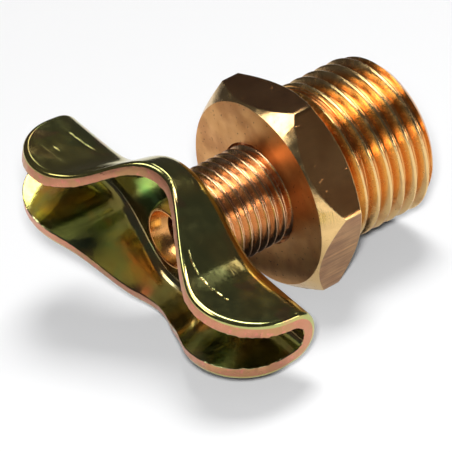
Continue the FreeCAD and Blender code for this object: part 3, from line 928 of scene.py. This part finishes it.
def yellow_plating(tints, name, tint, depth, stains_and_painted_glows=(), scratches=()):
    """Chromated zinc over rolled sheet: drifting tints, rolling lines, scratches and press marks."""
    finish = Finish(name, tint, roughness=0.14)
    place = finish.millimetres()
    drift = finish.clouds(place, 0.13, 2, 0.4, 0.6)
    finish.stain(finish.between(drift, 0.5, 0.62, 0, depth), tints.plating_green)
    warm = finish.clouds(finish.millimetres((1, 1, 1.7)), 0.17, 2, 0.4, 0.9)
    finish.stain(finish.between(warm, 0.55, 0.66, 0, depth), tints.plating_orange)
    blush = finish.clouds(finish.millimetres((1.3, 1, 1)), 0.24, 2, 0.5, 0.4)
    finish.stain(finish.between(blush, 0.63, 0.7, 0, 0.8 * depth), tints.plating_red)
    # Stains, painted glows and a nearly black patch, each laid over the plating near its spot.
    for stain, spot, reach in stains_and_painted_glows:
        finish.stain(finish.near(spot, reach), getattr(tints, stain))
    finish.polish(finish.clouds(place, 0.9, 4), 0.1, 0.2)
    sheet = finish.millimetres(source="UV")
    across = finish.add("ShaderNodeSeparateXYZ", {"Vector": sheet}).outputs["X"]
    rolled = finish.clouds(finish.millimetres((1, 0.04, 1), "UV"), 4, 4, 0.65)
    finish.mark(rolled, 0.008, 0.5)
    pressed = finish.times(
        finish.between(across, 0.2, 1.6), finish.between(across, 2.6, 4.2, 1, 0))
    finish.mark(finish.times(rolled, pressed), 0.05, 0.6)
    fine = finish.clouds(finish.millimetres((0.02, 1, 1), "UV"), 3.1, 1)
    finish.mark(finish.between(fine, 0.69, 0.73, 1, 0), 0.006, 0.5)
    finish.mark(finish.clouds(place, 0.8, 2), 0.03, 0.5)
    broken = finish.between(finish.clouds(sheet, 2.2, 3), 0.42, 0.52)
    for start, end in scratches:
        scratch = finish.times(finish.scratch(start, end, SCRATCH_WIDTH), broken)
        finish.stain(scratch, tints.scratch)
        finish.mark(scratch, -SCRATCH_DEPTH)
    return finish.material


def sheared_steel(tints):
    """Cut edge of the sheet, where the plating is thin and coppery, with tears across it."""
    finish = Finish("sheared_edge", tints.sheared, roughness=0.34)
    place = finish.millimetres()
    finish.stain(finish.between(finish.clouds(place, 0.5, 3), 0.42, 0.62), tints.sheared_gold)
    finish.stain(finish.between(finish.clouds(place, 2.4, 3), 0.55, 0.7, 0, 0.7), tints.plating_red)
    finish.polish(finish.clouds(place, 1.4, 3), 0.26, 0.45)
    finish.mark(finish.clouds(place, 3, 4, 0.6), 0.05, 0.6)
    return finish.material


def seal_rubber(tints):
    """Moulded black rubber with a faint grey bloom."""
    finish = Finish("seal_rubber", tints.rubber, metallic=0, roughness=0.55)
    place = finish.millimetres()
    finish.stain(finish.between(finish.clouds(place, 1.2, 4), 0.5, 0.7), tints.bloom)
    finish.polish(finish.clouds(place, 2, 3), 0.5, 0.7)
    finish.mark(finish.clouds(place, 8, 3), 0.02, 0.6)
    return finish.material


def make_camera(studio):
    """The camera of the photo, by its angles round the point that it looks at."""
    camera = bpy.data.objects.new("camera", bpy.data.cameras.new("camera"))
    bpy.context.collection.objects.link(camera)
    camera.data.lens = studio.lens
    camera.data.sensor_width = CAMERA_SENSOR
    camera.data.clip_start, camera.data.clip_end = CAMERA_RANGE
    turn = (
        Matrix.Rotation(studio.azimuth, 4, "Z")
        @ Matrix.Rotation(math.pi / 2 - studio.elevation, 4, "X")
        @ Matrix.Rotation(studio.roll, 4, "Z")
    )
    place = Vector(studio.target) + turn.to_3x3() @ Vector((0, 0, studio.distance))
    camera.matrix_world = Matrix.Translation(place) @ turn
    bpy.context.scene.camera = camera


def make_floor(paper):
    """Pale paper under the part."""
    bm = bmesh.new()
    bmesh.ops.create_grid(bm, x_segments=1, y_segments=1, size=FLOOR_HALF)
    bmesh.ops.translate(bm, verts=bm.verts, vec=(0, 0, CAD_BOX[0][2]))
    mesh = bpy.data.meshes.new("floor")
    bm.to_mesh(mesh)
    bm.free()
    floor = bpy.data.objects.new("floor", mesh)
    bpy.context.collection.objects.link(floor)
    paint = bpy.data.materials.new("floor_paper")
    paint.use_nodes = True
    shader = paint.node_tree.nodes["Principled BSDF"]
    shader.inputs["Base Color"].default_value = (*paper, 1)
    shader.inputs["Roughness"].default_value = 0.9
    mesh.materials.append(paint)


def make_light(name, direction, distance, size, power, mirrored):
    """A panel that either shows in the metal or lights the paper, not both."""
    data = bpy.data.lights.new(name, "AREA")
    data.shape = "RECTANGLE"
    data.size, data.size_y = size
    data.energy = power
    light = bpy.data.objects.new(name, data)
    bpy.context.collection.objects.link(light)
    way = Vector(direction).normalized()
    light.location = way * distance
    light.rotation_euler = way.to_track_quat("Z", "Y").to_euler()
    light.visible_glossy = mirrored
    light.visible_diffuse = not mirrored


class PETCOCK_OT_body(bpy.types.Operator):
    """Make the brass body with its hexagon, threads and bore"""
    bl_idname = "petcock.body"
    bl_label = "Brass body"

    def execute(self, context):
        scene = context.scene
        tints = scene.petcock_tints
        sizes = scene.petcock_body
        bm = build_body(sizes, scene.petcock_thread, scene.petcock_spindle)
        for face in bm.faces:
            middle = face.calc_center_median()
            around = math.atan2(middle.z, middle.x)
            reach = math.hypot(middle.x, middle.z)
            flat = hexagon_reach(around) - reach < TOUCH and reach > sizes.front_land
            faced = middle.y < BODY_LOW.y + TOUCH
            face.material_index = 1 if faced else 2 if flat and abs(face.normal.y) < 0.05 else 0
        crest = MOUNTS["body_thread"]["dims"]["r_mm"]
        paints = [
            # The body's thread grooves, relief and bore get painted shade from the groove tint.
            turned_brass(
                tints, "turned_brass", tints.crest, tints.groove, crest,
                (sizes.chatter_start, sizes.chatter_end, sizes.chatter_step, sizes.chatter)),
            faced_brass(tints),
            drawn_brass(tints)]
        piece = make_object("brass_body", bm, paints, "body", "hex_body")
        smooth = piece.modifiers.new("flats", "WEIGHTED_NORMAL")
        smooth.keep_sharp = True
        return {"FINISHED"}


class PETCOCK_OT_spindle(bpy.types.Operator):
    """Make the hollow spindle with its thread, side holes and riveted end"""
    bl_idname = "petcock.spindle"
    bl_label = "Spindle"

    def execute(self, context):
        scene = context.scene
        tints = scene.petcock_tints
        sizes = scene.petcock_spindle
        bm = build_spindle(sizes, scene.petcock_thread, scene.petcock_wing)
        for face in bm.faces:
            riveted = face.calc_center_median().y < WING_HIGH.y - MM
            face.material_index = int(riveted)
        paints = [
            # The spindle's thread grooves get painted shade from the stem groove tint.
            turned_brass(
                tints, "spindle_brass", tints.stem, tints.stem_groove_painted_shade, SPINDLE_HIGH.x / MM),
            # Here the groove tint paints shade into the bore and flare inside the riveted ring.
            turned_brass(
                tints, "riveted_brass", tints.rivet, tints.groove, sizes.rivet_base / MM)]
        piece = make_object("hollow_spindle", bm, paints, "screw", "spindle")
        place = Vector((0, sizes.side_place, 0))
        drill(piece, [
            rod(sizes.side_hole, 2 * sizes.shank, Matrix.Rotation(turn, 4, "Y"), place)
            for turn in (0, math.pi / 2)
        ])
        return {"FINISHED"}


class PETCOCK_OT_wing(bpy.types.Operator):
    """Make the folded wing with its rolled and sheared edges"""
    bl_idname = "petcock.wing"
    bl_label = "Folded wing"

    def execute(self, context):
        scene = context.scene
        tints = scene.petcock_tints
        sizes = scene.petcock_wing
        spindle = scene.petcock_spindle
        bm = build_wing(sizes)
        paints = [
            yellow_plating(
                tints, "plating_outside", tints.plating, 0.35, scratches=WING_SCRATCHES),
            # Painted shade: the wing's inner faces get the darker inside plating.
            yellow_plating(
                tints, "plating_inside_painted_shade", tints.plating_inside_painted_shade, 0.6, stains_and_painted_glows=WING_STAINS_AND_PAINTED_GLOWS),
            sheared_steel(tints)]
        piece = make_object("folded_wing", bm, paints, "screw", "wing_handle")
        gap = sizes.hole_gap
        turn = Matrix.Rotation(sizes.turn, 4, "Y") @ Matrix.Rotation(-math.pi / 2, 4, "X")
        drill(piece, [rod(
            spindle.neck + gap, 2 * sizes.sheet, turn,
            Vector((0, WING_HIGH.y - sizes.sheet / 2, 0)), spindle.flats + gap)])
        return {"FINISHED"}


class PETCOCK_OT_seal(bpy.types.Operator):
    """Finish the rubber ring on the spindle's tip"""
    bl_idname = "petcock.seal"
    bl_label = "Tip seal"

    def execute(self, context):
        seal = frame["nodes"]["tip_seal"]
        seal.data.materials.clear()
        seal.data.materials.append(seal_rubber(context.scene.petcock_tints))
        return {"FINISHED"}


class PETCOCK_OT_stage(bpy.types.Operator):
    """Make the camera, the floor and the lights"""
    bl_idname = "petcock.stage"
    bl_label = "Stage"

    def execute(self, context):
        make_camera(context.scene.petcock_studio)
        make_floor(context.scene.petcock_tints.paper)
        for name, (direction, size, power) in PAPER_LIGHTS.items():
            make_light(name, direction, PAPER_DISTANCE, size, power, mirrored=False)
        for name, (direction, size, power) in MIRRORED_LIGHTS.items():
            make_light(name, direction, MIRROR_DISTANCE, size, power, mirrored=True)
        context.scene.cycles.caustics_reflective = False
        world = bpy.data.worlds.new("studio")
        world.use_nodes = True
        backdrop = world.node_tree.nodes["Background"]
        backdrop.inputs["Color"].default_value = BACKDROP
        context.scene.world = world
        context.scene.view_settings.view_transform = "Standard"
        return {"FINISHED"}


OPERATORS = (
    PETCOCK_OT_body, PETCOCK_OT_spindle, PETCOCK_OT_wing, PETCOCK_OT_seal, PETCOCK_OT_stage)
SETTINGS = {
    "petcock_thread": PetcockThread,
    "petcock_body": PetcockBody,
    "petcock_spindle": PetcockSpindle,
    "petcock_wing": PetcockWing,
    "petcock_tints": PetcockTints,
    "petcock_studio": PetcockStudio,
}


class PETCOCK_PT_panel(bpy.types.Panel):
    """Buttons for each piece of the petcock"""
    bl_idname = "PETCOCK_PT_panel"
    bl_label = "Radiator drain petcock"
    bl_space_type = "VIEW_3D"
    bl_region_type = "UI"
    bl_category = "Petcock"

    def draw(self, context):
        for operator in OPERATORS:
            self.layout.operator(operator.bl_idname)


CLASSES = (*SETTINGS.values(), *OPERATORS, PETCOCK_PT_panel)


def register():
    for item in CLASSES:
        bpy.utils.register_class(item)
    for name, group in SETTINGS.items():
        setattr(bpy.types.Scene, name, bpy.props.PointerProperty(type=group))


def unregister():
    for name in SETTINGS:
        delattr(bpy.types.Scene, name)
    for item in reversed(CLASSES):
        bpy.utils.unregister_class(item)


def main():
    register()
    bpy.ops.petcock.body()
    bpy.ops.petcock.spindle()
    bpy.ops.petcock.wing()
    bpy.ops.petcock.seal()
    bpy.ops.petcock.stage()


if __name__ == "__main__":
    main()
